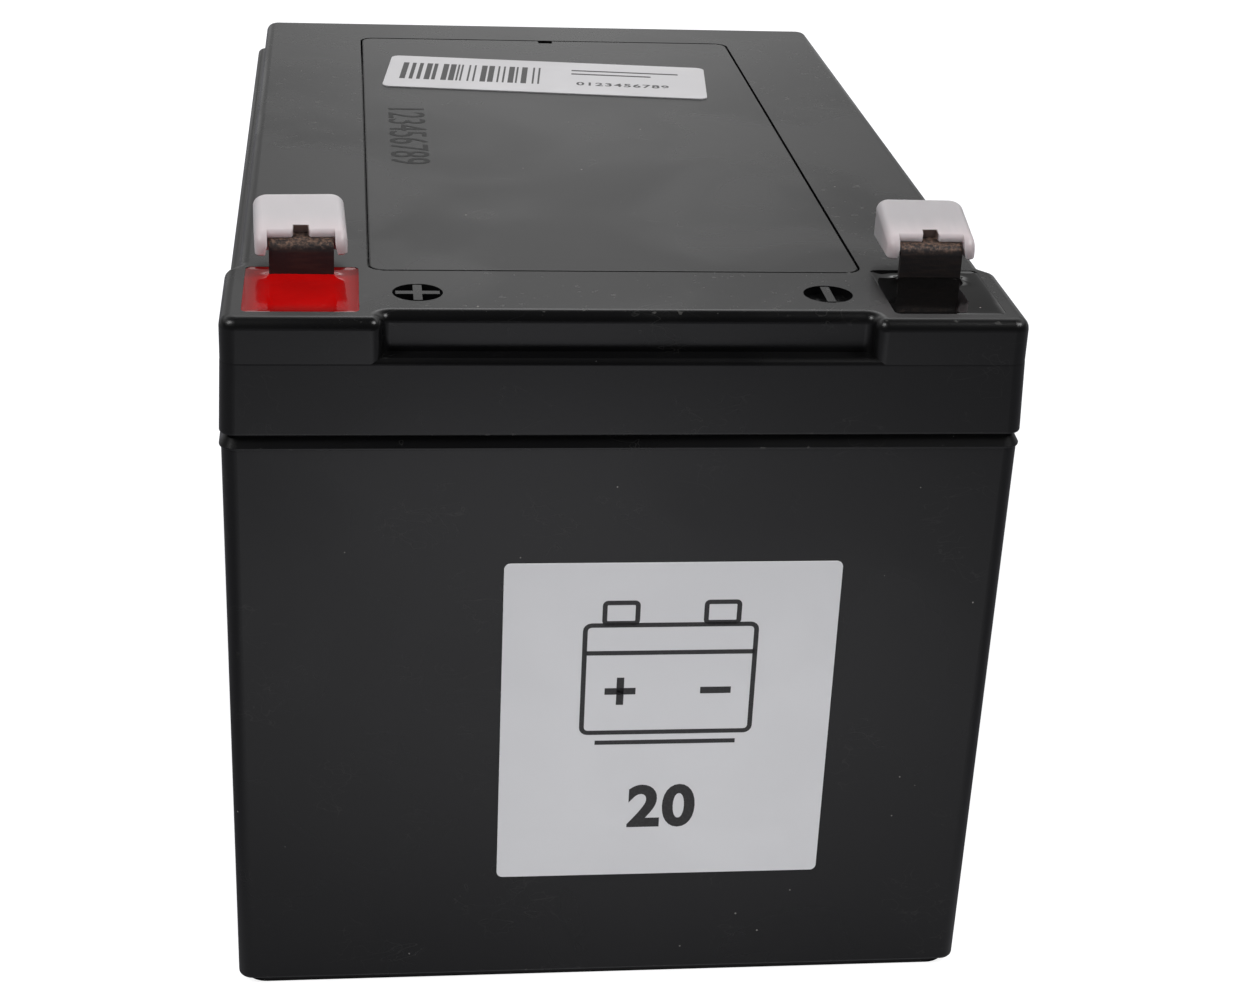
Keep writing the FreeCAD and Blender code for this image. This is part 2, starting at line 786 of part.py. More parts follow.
def make_cap(side, yaw):
    """Sleeve for a blade: closed round the sides and rear, open at the front for the upright strip."""
    roof = strip_thickness / 2 + cap_play
    front = -strip_thickness / 2 - cap_front
    turn = math.sin(math.radians(max(abs(positive_cap_yaw), abs(negative_cap_yaw))))
    cavity_end = blade_tip + cap_play + turn * blade_width / 2
    rear = cavity_end + cap_rear_wall
    slot_width = strip_width + 2 * cap_slot_gap
    slot_end = blade_start + cap_play + turn * slot_width / 2
    floor = cap_floor - cap_drop
    cavity_view = [
        (slot_end, floor), (cavity_end, floor),
        (cavity_end, above_blade(cavity_end, roof)), (slot_end, above_blade(slot_end, roof)),
    ]
    cavity = prism(cavity_view, [0] * 4, blade_width + 2 * (turn * blade_tip + cap_play))
    body = cap_outside(front, rear, slot_width + 2 * cap_leg)
    body = body.cut([cap_mouth(front, slot_end, slot_width), cavity, cap_notch(cap_top(rear))])
    body.rotate(Vector(0, 0, 0), UP, yaw)
    body.translate(Vector(side * well_from_centre, from_front(strip_from_front), strip_top))
    return body


def make_front_label():
    """Film that follows the drafted front wall of the container."""
    def wall(extra):
        low = rectangle(
            0, 0, 2 * (wall_half_width - container_draft + extra),
            2 * (wall_half_length - container_draft + extra), container_corner, foot_height,
        )
        high = rectangle(
            0, 0, 2 * (wall_half_width + extra), 2 * (wall_half_length + extra),
            container_corner, bead_top - bead_height,
        )
        return Part.makeLoft([low, high], True, True)

    left = front_label_centre - front_label_width / 2
    right = front_label_centre + front_label_width / 2
    top = front_label_bottom + front_label_height
    corners = [(left, front_label_bottom), (right, front_label_bottom), (right, top), (left, top)]
    outline = rounded_wire(corners, [front_label_corner] * 4, Vector(0, -overall_length, 0), ACROSS, UP)
    prism = Part.Face(outline).extrude(ALONG * overall_length)
    return wall(label_thickness).cut(wall(0)).common(prism)


def make_code_label():
    """Film on the vent cover, stuck on at a slight angle."""
    film = slab(
        0, 0, code_label_width, code_label_length, code_label_corner,
        overall_height, overall_height + label_thickness,
    )
    film.rotate(Vector(0, 0, 0), UP, code_label_turn)
    film.translate(Vector(code_label_centre, upper_half_length - code_label_from_rear, 0))
    return film


def save(name, shape):
    """Writes one piece to its own file."""
    shape.exportStep("parts/" + name + ".step")


os.makedirs("parts", exist_ok=True)
save("container", make_container())
save("lid", make_lid())
save("vent_cover", make_vent_cover())
for number in range(cell_count):
    label = str(number + 1)
    save("vent_valve_" + label, make_valve(number))
    save("positive_plates_" + label, make_plate_group(number, True))
    save("negative_plates_" + label, make_plate_group(number, False))
    save("glass_mats_" + label, make_mats(number))
save("positive_seal_ring", make_seal_ring(-1))
save("negative_seal_ring", make_seal_ring(1))
save("positive_terminal", make_terminal(-1))
save("negative_terminal", make_terminal(1))
save("positive_resin", make_resin(-1))
save("negative_resin", make_resin(1))
save("positive_terminal_cap", make_cap(-1, positive_cap_yaw))
save("negative_terminal_cap", make_cap(1, negative_cap_yaw))
save("front_label", make_front_label())
save("code_label", make_code_label())
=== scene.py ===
import math

import bmesh
import bpy
import numpy as np
from mathutils import Matrix, Vector


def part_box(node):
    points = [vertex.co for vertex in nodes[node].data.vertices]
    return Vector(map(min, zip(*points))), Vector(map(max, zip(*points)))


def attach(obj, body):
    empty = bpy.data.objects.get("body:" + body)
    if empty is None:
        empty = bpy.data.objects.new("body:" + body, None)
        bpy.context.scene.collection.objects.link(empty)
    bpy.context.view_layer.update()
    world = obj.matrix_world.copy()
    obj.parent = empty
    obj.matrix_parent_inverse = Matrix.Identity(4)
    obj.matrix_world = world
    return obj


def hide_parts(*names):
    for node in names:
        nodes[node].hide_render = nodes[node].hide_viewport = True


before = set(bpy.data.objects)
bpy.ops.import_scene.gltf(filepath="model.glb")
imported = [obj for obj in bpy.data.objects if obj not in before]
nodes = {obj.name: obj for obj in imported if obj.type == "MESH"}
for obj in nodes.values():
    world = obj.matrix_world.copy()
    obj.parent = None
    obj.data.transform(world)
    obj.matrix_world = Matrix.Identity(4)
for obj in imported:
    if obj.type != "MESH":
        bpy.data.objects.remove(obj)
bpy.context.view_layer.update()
MM = 0.001


# Camera.
# It stands a hand's width above the lid and a little to the left of the middle, and looks down
# along the battery from its terminal end.
camera_place = (-34.0 * MM, -338.9 * MM, 192.9 * MM)
camera_yaw = math.radians(7.35)
camera_pitch = math.radians(24.58)
camera_roll = math.radians(2.74)
camera_lens = 67.94
sensor_width = 36.0
nearest_seen = 0.01


def camera_matrix(place, yaw, pitch, roll):
    """Columns are the picture's right and its up, turned by the roll, and the way backwards."""
    level = math.cos(pitch)
    forward = Vector((math.sin(yaw) * level, math.cos(yaw) * level, -math.sin(pitch)))
    right = Vector((math.cos(yaw), -math.sin(yaw), 0.0))
    up = right.cross(forward)
    turned_right = right * math.cos(roll) + up * math.sin(roll)
    turned_up = up * math.cos(roll) - right * math.sin(roll)
    turn = Matrix((turned_right, turned_up, -forward)).transposed().to_4x4()
    return Matrix.Translation(place) @ turn


camera = bpy.data.objects.new("studio_camera", bpy.data.cameras.new("studio_camera"))
bpy.context.scene.collection.objects.link(camera)
camera.data.sensor_width = sensor_width
camera.data.lens = camera_lens
camera.data.clip_start = nearest_seen
camera.matrix_world = camera_matrix(camera_place, camera_yaw, camera_pitch, camera_roll)
bpy.context.scene.camera = camera


# Container.
# The box is injection moulded from black ABS with a fine satin grain. It has light rubbing marks,
# a few nicks along its edges and some dust, as a battery from a shelf has.
case_black = (0.0040, 0.0040, 0.0044, 1)
case_gloss = 1.39
case_rough = (0.24, 0.34)
case_edges = (78.6, 1.2)
case_grain = 0.006
dust_grey = (0.36, 0.35, 0.33, 1)
fine_dust = {"Spacing": 3.6, "Speck": 0.19, "Share": 0.40}
large_dust = {"Spacing": 9.0, "Speck": 0.36, "Share": 0.34}
fibre_dust = {"Spacing": 6.5, "Speck": 0.26, "Share": 0.22}
fibre_stretch = (0.32, 1.0, 1.0)
long_scratches = {"Turn": 0.9, "Width": 0.006, "Share": 0.46}
cross_scratches = {"Turn": 2.3, "Width": 0.005, "Share": 0.42}
edge_chips = {"Reach": 0.35, "Share": 0.34}
film_size = 34.0
grain_size = 0.55
scratch_cover, nick_cover, film_cover, dust_cover = 0.035, 0.14, 0.004, 0.8
cover_rough_gain = 1.2
dust_height = 3.0
grain_strength = 0.6


def add_node(tree, kind, inputs=None, **settings):
    """Adds a node, sets its options, and sets or links its inputs."""
    made = tree.nodes.new(kind)
    for name, value in settings.items():
        setattr(made, name, value)
    for name, value in (inputs or {}).items():
        if isinstance(value, bpy.types.NodeSocket):
            tree.links.new(value, made.inputs[name])
        else:
            made.inputs[name].default_value = value
    return made


def calculate(tree, operation, *values):
    """Math node on one to three values, held between 0 and 1 where the name ends in _held."""
    settings = {"operation": operation.removesuffix("_held")}
    settings["use_clamp"] = operation.endswith("_held")
    return add_node(tree, "ShaderNodeMath", dict(enumerate(values)), **settings).outputs[0]


def remap(tree, value, low, high, to_low=0.0, to_high=1.0):
    """Smooth step: low to high becomes to_low to to_high, with flat ends."""
    inputs = {"Value": value, "From Min": low, "From Max": high}
    inputs.update({"To Min": to_low, "To Max": to_high})
    made = add_node(tree, "ShaderNodeMapRange", inputs, interpolation_type="SMOOTHSTEP")
    return made.outputs["Result"]


def blend_colours(tree, share, first, second):
    """Mix of two colours by a mask."""
    inputs = {0: share, 6: first, 7: second}
    return add_node(tree, "ShaderNodeMix", inputs, data_type="RGBA").outputs[2]


def change_place(tree, operation, place, by):
    """Place moved by a vector (ADD) or stretched along the axes (MULTIPLY)."""
    inputs = {0: place, 1: by}
    return add_node(tree, "ShaderNodeVectorMath", inputs, operation=operation).outputs[0]


def split_place(tree, place):
    """The X, Y and Z of a place."""
    return add_node(tree, "ShaderNodeSeparateXYZ", {"Vector": place}).outputs


def add_noise(tree, place, scale, detail, **more):
    """Noise with this many features per unit of the place, and this many finer octaves."""
    inputs = {"Vector": place, "Scale": scale, "Detail": detail, **more}
    return add_node(tree, "ShaderNodeTexNoise", inputs).outputs["Fac"]


def effect_group(name, output, **inputs):
    """Node group with a place, named values and one output. Returns its tree and its sockets."""
    tree = bpy.data.node_groups.new(name, "ShaderNodeTree")
    tree.interface.new_socket("Place", in_out="INPUT", socket_type="NodeSocketVector")
    for label, value in inputs.items():
        socket = tree.interface.new_socket(label, in_out="INPUT", socket_type="NodeSocketFloat")
        socket.default_value = value
    tree.interface.new_socket(output, in_out="OUTPUT", socket_type="NodeSocketFloat")
    result = tree.nodes.new("NodeGroupOutput").inputs[output]
    return tree, tree.nodes.new("NodeGroupInput").outputs, result


def place_group(tree, group, **inputs):
    """Puts an effect into a material with its own values, and returns the effect's output."""
    return add_node(tree, "ShaderNodeGroup", inputs, node_tree=group).outputs[0]


def make_grain():
    """Height of a spark-eroded mould surface: a noise, and a fainter one a third its size."""
    fine_ratio, fine_share = 3.0, 0.4
    tree, given, result = effect_group("moulded_grain", "Height", Size=0.4)
    coarse = calculate(tree, "DIVIDE", 1.0, given["Size"])
    fine = calculate(tree, "MULTIPLY", coarse, fine_ratio)
    low = add_noise(tree, given["Place"], coarse, 1.0)
    high = add_noise(tree, given["Place"], fine, 0.0)
    tree.links.new(calculate(tree, "MULTIPLY_ADD", high, fine_share, low), result)
    return tree


def make_dust():
    """Mask of specks: a random mesh's cell keeps its speck if its random number is low enough."""
    smallest = 0.2
    tree, given, result = effect_group(
        "settled_dust", "Mask", Spacing=4.0, Speck=0.2, Share=0.3
    )
    per_mm = calculate(tree, "DIVIDE", 1.0, given["Spacing"])
    inputs = {"Vector": given["Place"], "Scale": per_mm}
    cells = add_node(tree, "ShaderNodeTexVoronoi", inputs).outputs
    drawn = add_node(tree, "ShaderNodeSeparateColor", {"Color": cells["Color"]}).outputs
    reach = calculate(tree, "DIVIDE", given["Speck"], given["Spacing"])
    size = calculate(tree, "MULTIPLY_ADD", drawn[0], 1.0 - smallest, smallest)
    ratio = calculate(tree, "DIVIDE", cells["Distance"], calculate(tree, "MULTIPLY", reach, size))
    kept = calculate(tree, "LESS_THAN", drawn[1], given["Share"])
    speck = remap(tree, ratio, 1.0, 0.5)
    tree.links.new(calculate(tree, "MULTIPLY", speck, kept), result)
    return tree


def make_scuffs():
    """Mask of hair scratches: where stretched noise crosses its middle value, in rough patches."""
    turning_axis, stretch = (0.6, 0.5, 0.62), (0.9, 0.05, 0.9)
    line_scale, patch_scale, patch_edge = 0.35, 0.11, 0.08
    tree, given, result = effect_group(
        "hair_scratches", "Mask", Turn=0.5, Width=0.01, Share=0.4
    )
    inputs = {"Vector": given["Place"], "Angle": given["Turn"], "Axis": turning_axis}
    turned = add_node(tree, "ShaderNodeVectorRotate", inputs, rotation_type="AXIS_ANGLE").outputs[0]
    along = change_place(tree, "MULTIPLY", turned, stretch)
    waves = add_noise(tree, along, line_scale, 2.0, Distortion=0.3)
    off = calculate(tree, "ABSOLUTE", calculate(tree, "SUBTRACT", waves, 0.5))
    line = calculate(tree, "SUBTRACT_held", 1.0, calculate(tree, "DIVIDE", off, given["Width"]))
    patches = add_noise(tree, given["Place"], patch_scale, 1.0)
    edge = calculate(tree, "SUBTRACT", 1.0, given["Share"])
    shown = remap(tree, patches, edge, calculate(tree, "ADD", edge, patch_edge))
    tree.links.new(calculate(tree, "MULTIPLY", line, shown), result)
    return tree


def make_film():
    """Slow variation from handling: a wide noise with soft detail, spread over 0 to 1."""
    tree, given, result = effect_group("handling_film", "Film", Size=30.0)
    per_mm = calculate(tree, "DIVIDE", 1.0, given["Size"])
    noise = add_noise(tree, given["Place"], per_mm, 3.0, Distortion=0.6)
    tree.links.new(remap(tree, noise, 0.3, 0.7), result)
    return tree


def make_nicks():
    """Mask of nicks along a level edge: near the edge's height, where a short noise is high."""
    chip_scale, chip_edge = 0.9, 0.04
    tree, given, result = effect_group("edge_nicks", "Mask", Level=80.0, Reach=0.3, Share=0.4)
    height = split_place(tree, given["Place"])["Z"]
    off = calculate(tree, "ABSOLUTE", calculate(tree, "SUBTRACT", height, given["Level"]))
    near = calculate(tree, "SUBTRACT_held", 1.0, calculate(tree, "DIVIDE", off, given["Reach"]))
    noise = add_noise(tree, given["Place"], chip_scale, 3.0)
    edge = calculate(tree, "SUBTRACT", 1.0, given["Share"])
    chips = remap(tree, noise, edge, calculate(tree, "ADD", edge, chip_edge))
    tree.links.new(calculate(tree, "MULTIPLY", near, chips), result)
    return tree


moulded_grain = make_grain()
settled_dust = make_dust()
hair_scratches = make_scuffs()
handling_film = make_film()
edge_nicks = make_nicks()


def new_material(name, **sockets):
    """Material with a Principled shader whose constants are set, and its place in millimetres."""
    material = bpy.data.materials.new(name)
    material.use_nodes = True
    tree = material.node_tree
    shader = tree.nodes["Principled BSDF"]
    for label, value in sockets.items():
        shader.inputs[label.replace("_", " ")].default_value = value
    metres = add_node(tree, "ShaderNodeTexCoord").outputs["Object"]
    inputs = {0: metres, "Scale": 1 / MM}
    place = add_node(tree, "ShaderNodeVectorMath", inputs, operation="SCALE").outputs[0]
    return material, tree, shader, place


def set_bump(tree, shader, height, strength, depth_mm):
    """Bump from a height, with a depth in millimetres."""
    inputs = {"Height": height, "Strength": strength, "Distance": depth_mm * MM}
    bump = add_node(tree, "ShaderNodeBump", inputs)
    tree.links.new(bump.outputs["Normal"], shader.inputs["Normal"])


def black_plastic(name, colour, gloss, rough_range, edge_levels, grain_depth):
    """Satin black plastic: grain, a greasy film on its gloss, scratches, nicks and dust."""
    material, tree, shader, place = new_material(name, IOR=gloss)
    film = place_group(tree, handling_film, Place=place, Size=film_size)
    fine = place_group(tree, settled_dust, Place=place, **fine_dust)
    large = place_group(tree, settled_dust, Place=place, **large_dust)
    fibre_place = change_place(tree, "MULTIPLY", place, fibre_stretch)
    fibres = place_group(tree, settled_dust, Place=fibre_place, **fibre_dust)
    dust = calculate(tree, "MAXIMUM", calculate(tree, "MAXIMUM", fine, large), fibres)
    scratches = place_group(tree, hair_scratches, Place=place, **long_scratches)
    crossing = place_group(tree, hair_scratches, Place=place, **cross_scratches)
    marks = calculate(tree, "MAXIMUM", scratches, crossing)
    marks = calculate(tree, "MULTIPLY", marks, scratch_cover)
    for level in edge_levels:
        nicks = place_group(tree, edge_nicks, Place=place, Level=level, **edge_chips)
        marks = calculate(tree, "MAXIMUM", marks, calculate(tree, "MULTIPLY", nicks, nick_cover))
    dusty = calculate(tree, "MULTIPLY", dust, dust_cover)
    haze = calculate(tree, "MULTIPLY_ADD", film, film_cover, dusty)
    share = calculate(tree, "ADD_held", haze, marks)
    tree.links.new(blend_colours(tree, share, colour, dust_grey), shader.inputs["Base Color"])
    rough = remap(tree, film, 0.0, 1.0, *rough_range)
    rough = calculate(tree, "MULTIPLY_ADD_held", share, cover_rough_gain, rough)
    tree.links.new(rough, shader.inputs["Roughness"])
    grain = place_group(tree, moulded_grain, Place=place, Size=grain_size)
    height = calculate(tree, "MULTIPLY_ADD", dust, dust_height, grain)
    set_bump(tree, shader, height, grain_strength, grain_depth)
    return material


def finish_node(name, material):
    """Gives a carried-over node its material."""
    for slot in nodes[name].material_slots:
        slot.material = material


case_plastic = black_plastic(
    "case_plastic", case_black, case_gloss, case_rough, case_edges, case_grain
)
finish_node("container", case_plastic)


# Lid.
# It is moulded from the same black ABS with a slightly glossier top, and is glued and pressed on to
# the container's rim.
lid_black = (0.0040, 0.0040, 0.0043, 1)
lid_rough = (0.22, 0.31)
lid_edges = (80.3, 94.8)
lid_grain = 0.005
lid_plastic = black_plastic("lid_plastic", lid_black, case_gloss, lid_rough, lid_edges, lid_grain)
finish_node("lid", lid_plastic)


# Vent cover with its stamped digits.
# The cover is a flat moulded panel that closes the pocket over the valves, welded at a few points.
# A row of plain digits is stamped on it with a hot wheel, which leaves them smooth and darker.
cover_gloss = 1.41
cover_rough = (0.21, 0.29)
cover_plastic = black_plastic("cover_plastic", lid_black, cover_gloss, cover_rough, (), lid_grain)
finish_node("vent_cover", cover_plastic)
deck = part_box("vent_cover")[1].z
stamp_text = "123456789"
stamp_height = 5.6 * MM
stamp_length = 29.5 * MM
stamp_centre = (-24.9 * MM, 3.2 * MM)
stamp_proud = 0.02 * MM
stamp_dark = (0.003, 0.003, 0.003, 1)
stamp_worn = (0.008, 0.008, 0.008, 1)
letter_half_depth = 0.5
letter_steps = 6
merge_distance = 1e-7


def text_solid(text, height, thickness, embolden=0.0, spacing=1.0):
    """Letters as closed thin solids about the origin: the built-in font with a depth along Z."""
    curve = bpy.data.curves.new("letters", "FONT")
    curve.body = text
    curve.extrude = letter_half_depth
    curve.offset = embolden
    curve.space_character = spacing
    curve.resolution_u = letter_steps
    holder = bpy.data.objects.new("letters", curve)
    bpy.context.scene.collection.objects.link(holder)
    depsgraph = bpy.context.evaluated_depsgraph_get()
    mesh = bpy.data.meshes.new_from_object(holder.evaluated_get(depsgraph))
    points = np.zeros(len(mesh.vertices) * 3)
    mesh.vertices.foreach_get("co", points)
    points = points.reshape(-1, 3)
    faces = [tuple(polygon.vertices) for polygon in mesh.polygons]
    bpy.data.objects.remove(holder)
    bpy.data.curves.remove(curve)
    bpy.data.meshes.remove(mesh)
    low, high = points.min(0), points.max(0)
    points -= (low + high) / 2
    points[:, :2] *= height / (high[1] - low[1])
    points[:, 2] = (points[:, 2] + letter_half_depth) * thickness
    return points, faces


def join_solids(solids):
    """One list of points and faces from several."""
    points, faces, start = [], [], 0
    for some_points, some_faces in solids:
        points.append(some_points)
        faces += [tuple(index + start for index in face) for face in some_faces]
        start += len(some_points)
    return np.concatenate(points), faces


def new_piece(name, points, faces, material, smooth=False):
    """Object at the origin, with its doubles merged and its faces turned outwards."""
    mesh = bpy.data.meshes.new(name)
    mesh.from_pydata(points.tolist(), [], faces)
    work = bmesh.new()
    work.from_mesh(mesh)
    bmesh.ops.remove_doubles(work, verts=work.verts, dist=merge_distance)
    bmesh.ops.recalc_face_normals(work, faces=work.faces)
    work.to_mesh(mesh)
    work.free()
    if smooth:
        mesh.polygons.foreach_set("use_smooth", [True] * len(mesh.polygons))
    mesh.materials.append(material)
    piece = bpy.data.objects.new(name, mesh)
    bpy.context.scene.collection.objects.link(piece)
    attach(piece, "root")
    return piece


def turn_flat(points, angle):
    """Turns points about Z."""
    c, s = math.cos(angle), math.sin(angle)
    x, y, z = points.T
    return np.stack([c * x - s * y, s * x + c * y, z], 1)


def make_ink(name, gloss, rough, patch_scale, patch_range, full, worn):
    """Ink that turns from its full to its worn tone in patches."""
    material, tree, shader, place = new_material(name, IOR=gloss, Roughness=rough)
    patches = remap(tree, add_noise(tree, place, patch_scale, 3.0), *patch_range)
    tree.links.new(blend_colours(tree, patches, full, worn), shader.inputs["Base Color"])
    return material


stamp_points, stamp_faces = text_solid(stamp_text, stamp_height, stamp_proud)
stamp_points[:, 0] *= stamp_length / np.ptp(stamp_points[:, 0])
stamp_points = turn_flat(stamp_points, -math.pi / 2) + (*stamp_centre, deck)
stamp_ink = make_ink("stamped_ink", 1.3, 0.5, 1.4, (0.45, 0.7), stamp_dark, stamp_worn)
new_piece("stamped_digits", stamp_points, stamp_faces, stamp_ink)


# Resin pools.
# After the terminals are soldered to the posts, red and black epoxy is poured into the wells to
# seal them. The resin is glassy, slightly domed, and drawn up where it wets the strip.
well_half = (7.0 * MM, 8.1 * MM)
well_x = 39.6 * MM
well_y = -64.6 * MM
strip_y = -60.0 * MM
strip_half = (3.975 * MM, 0.4 * MM)
pool_level = 94.84 * MM
pool_floor = 88.0 * MM
pool_corner = 0.8 * MM
pool_dome = 0.06 * MM
wall_rise, wall_reach = 0.12 * MM, 0.50
strip_rise, strip_reach = 0.55 * MM, 0.55
ripple_height, ripple_across, ripple_along = 0.02 * MM, 0.55, 0.42
points_per_side, points_per_corner, ring_count = 44, 8, 86
ring_crowding = 1.5
hub_share = 0.02
resin_gloss = 1.36
resin_dust = {"Spacing": 2.6, "Speck": 0.13, "Share": 0.2}
resin_speck = (0.6, 0.45, 0.42, 1)
resin_rough = (0.02, 0.05)
edge_band = (3.2, 0.2)


def rounded_outline(half_x, half_y, radius, per_side, per_corner):
    """Closed outline of a rounded rectangle: straight sides and quarter circles, anticlockwise."""
    corners = [(1, -1, -90), (1, 1, 0), (-1, 1, 90), (-1, -1, 180)]
    points = []
    for sign_x, sign_y, start in corners:
        turn = np.radians(start + np.linspace(0, 90, per_corner))
        x = sign_x * (half_x - radius) + radius * np.cos(turn)
        y = sign_y * (half_y - radius) + radius * np.sin(turn)
        points.append(np.stack([x, y], 1))
    outline = []
    for index, arc in enumerate(points):
        following = points[(index + 1) % 4][0]
        share = np.linspace(0, 1, per_side + 2)[1:-1, None]
        outline += [arc, arc[-1] * (1 - share) + following * share]
    return np.concatenate(outline)


def grid_faces(rows, columns):
    """Quads of a grid whose columns close into a ring."""
    starts = np.arange(rows - 1)[:, None] * columns
    column = np.arange(columns)[None, :]
    first, following = starts + column, starts + (column + 1) % columns
    quads = np.stack([first, following, following + columns, first + columns], -1)
    return [tuple(quad) for quad in quads.reshape(-1, 4).tolist()]


def pool_height(x, y, seed):
    """Level of the resin, with u and v from -1 to 1 over the well:

    z = level + dome (1 - u^2)(1 - v^2) + wall_rise e^(-distance to the wall / wall_reach)
        + strip_rise e^(-distance to the strip / strip_reach)
        + ripple sin(a x + seed) cos(b y + 2 seed)
    """
    across, along = x / well_half[0], (y - well_y) / well_half[1]
    wall = np.minimum(well_half[0] - np.abs(x), well_half[1] - np.abs(y - well_y)) / MM
    out_x = np.maximum(np.abs(x) - strip_half[0], 0) / MM
    out_y = np.maximum(np.abs(y - strip_y) - strip_half[1], 0) / MM
    strip = np.hypot(out_x, out_y)
    z = pool_level + pool_dome * (1 - across ** 2) * (1 - along ** 2)
    z = z + wall_rise * np.exp(-np.maximum(wall, 0) / wall_reach)
    z = z + strip_rise * np.exp(-strip / strip_reach)
    wave_x = np.sin(x / MM * ripple_across + seed)
    wave_y = np.cos((y - well_y) / MM * ripple_along + 2 * seed)
    return z + ripple_height * wave_x * wave_y


def make_pool(name, side, seed, material, node):
    """Closed solid: spokes run from the strip to the well's wall, then down and in below.

    The point at share s of a spoke is hub + (1 - (1 - s)^1.5) (outline - hub), so that the rings
    crowd at the wall.
    """
    outline = rounded_outline(*well_half, pool_corner, points_per_side, points_per_corner)
    outline = outline + (0, well_y)
    hub = np.array([0, strip_y])
    spokes = 1 - (1 - np.linspace(0.0, 1.0, ring_count)[1:]) ** ring_crowding
    top = np.stack([hub + share * (outline - hub) for share in spokes])
    heights = pool_height(top[..., 0], top[..., 1], seed)
    foot = np.stack([outline, hub + hub_share * (outline - hub)])
    plan = np.concatenate([top, foot])
    z = np.concatenate([heights, np.full(foot.shape[:2], pool_floor)])
    points = np.concatenate([plan, z[..., None]], -1)
    rows, columns = points.shape[:2]
    points = points.reshape(-1, 3)
    points[:, 0] += side * well_x
    top_hub = (side * well_x, strip_y, pool_height(0.0, strip_y, seed))
    points = np.concatenate([points, [top_hub, (side * well_x, strip_y, pool_floor)]])
    faces = grid_faces(rows, columns)
    last = (rows - 1) * columns
    for index in range(columns):
        following = (index + 1) % columns
        faces.append((rows * columns, following, index))
        faces.append((rows * columns + 1, last + index, last + following))
    piece = new_piece(name, points, faces, material, smooth=True)
    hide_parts(node)


def glassy_resin(name, side, clear, clouded, at_wall):
    """Cast epoxy: clouded pigment, darker in a band along the well's wall, glassy, with dust."""
    material, tree, shader, place = new_material(name, IOR=resin_gloss)
    centred = change_place(tree, "ADD", place, (-side * well_x / MM, -well_y / MM, 0.0))
    off = split_place(tree, centred)
    wall_x = calculate(tree, "SUBTRACT", well_half[0] / MM, calculate(tree, "ABSOLUTE", off["X"]))
    wall_y = calculate(tree, "SUBTRACT", well_half[1] / MM, calculate(tree, "ABSOLUTE", off["Y"]))
    wall_band = remap(tree, calculate(tree, "MINIMUM", wall_x, wall_y), *edge_band)
    cloud = place_group(tree, handling_film, Place=place, Size=5.0)
    specks = place_group(tree, settled_dust, Place=place, **resin_dust)
    tint = blend_colours(tree, cloud, clear, clouded)
    tint = blend_colours(tree, wall_band, tint, at_wall)
    tint = blend_colours(tree, calculate(tree, "MULTIPLY", specks, 0.7), tint, resin_speck)
    tree.links.new(tint, shader.inputs["Base Color"])
    tree.links.new(remap(tree, cloud, 0.0, 1.0, *resin_rough), shader.inputs["Roughness"])
    ripple = add_noise(tree, place, 0.7, 2.0)
    relief = calculate(tree, "MULTIPLY_ADD", specks, 2.0, ripple)
    set_bump(tree, shader, relief, 0.5, 0.012)
    return material


red_resin = glassy_resin(
    "red_resin", -1, (0.52, 0.0034, 0.0032, 1), (0.46, 0.0026, 0.0026, 1), (0.27, 0.006, 0.006, 1)
)
black_resin = glassy_resin(
    "black_resin", 1,
    (0.0040, 0.0036, 0.0034, 1), (0.0030, 0.0028, 0.0028, 1), (0.0040, 0.0040, 0.0040, 1),
)
make_pool("red_pool", -1, 0.4, red_resin, "positive_resin")
make_pool("black_pool", 1, 1.7, black_resin, "negative_resin")


# Terminals.
# Each is a strip of tinned copper alloy, bent up out of the resin and back over the lid. Heat and
# storage have turned it dark brown. From the bend up it has coppery flecks, partly bare metal and
# partly a painted highlight where the bend catches the light.
strip_dark = (0.030, 0.026, 0.027, 1)
strip_brown = (0.046, 0.034, 0.031, 1)
strip_copper_highlight_tone = (0.33, 0.20, 0.14, 1)
strip_shine = 0.35
strip_rough = (0.38, 0.56)
bend_level = 99.1
bend_band_from, bend_band_to, bend_band_most = bend_level - 1.1, bend_level + 0.5, 0.75
streak_stretch = (0.25, 1.6, 1.6)


def make_strip_metal():
    """Tarnish: dark below, broken coppery flecks from the bend up that are partly bare metal and
    partly a painted highlight, streaks across the rolling.
    """
    material, tree, shader, place = new_material("tarnished_strip", Metallic=strip_shine)
    height = split_place(tree, place)["Z"]
    fleck = add_noise(tree, place, 2.4, 5.0, Roughness=0.7)
    streak = add_noise(tree, change_place(tree, "MULTIPLY", place, streak_stretch), 1.1, 3.0)
    # Painted highlight, partly bare metal: coppery flecks from the bend up.
    above = remap(tree, height, bend_band_from, bend_band_to, 0.0, bend_band_most)
    bend_flecks = calculate(tree, "MULTIPLY_ADD", above, 0.14, fleck)
    copper_and_highlight = calculate(tree, "MULTIPLY", above, remap(tree, bend_flecks, 0.50, 0.78))
    tint = blend_colours(tree, remap(tree, streak, 0.42, 0.68), strip_dark, strip_brown)
    tint = blend_colours(tree, copper_and_highlight, tint, strip_copper_highlight_tone)
    tree.links.new(tint, shader.inputs["Base Color"])
    tree.links.new(remap(tree, fleck, 0.3, 0.7, *strip_rough), shader.inputs["Roughness"])
    relief = calculate(tree, "MULTIPLY_ADD", streak, 0.5, fleck)
    set_bump(tree, shader, relief, 0.8, 0.05)
    return material


strip_metal = make_strip_metal()
finish_node("positive_terminal", strip_metal)
finish_node("negative_terminal", strip_metal)
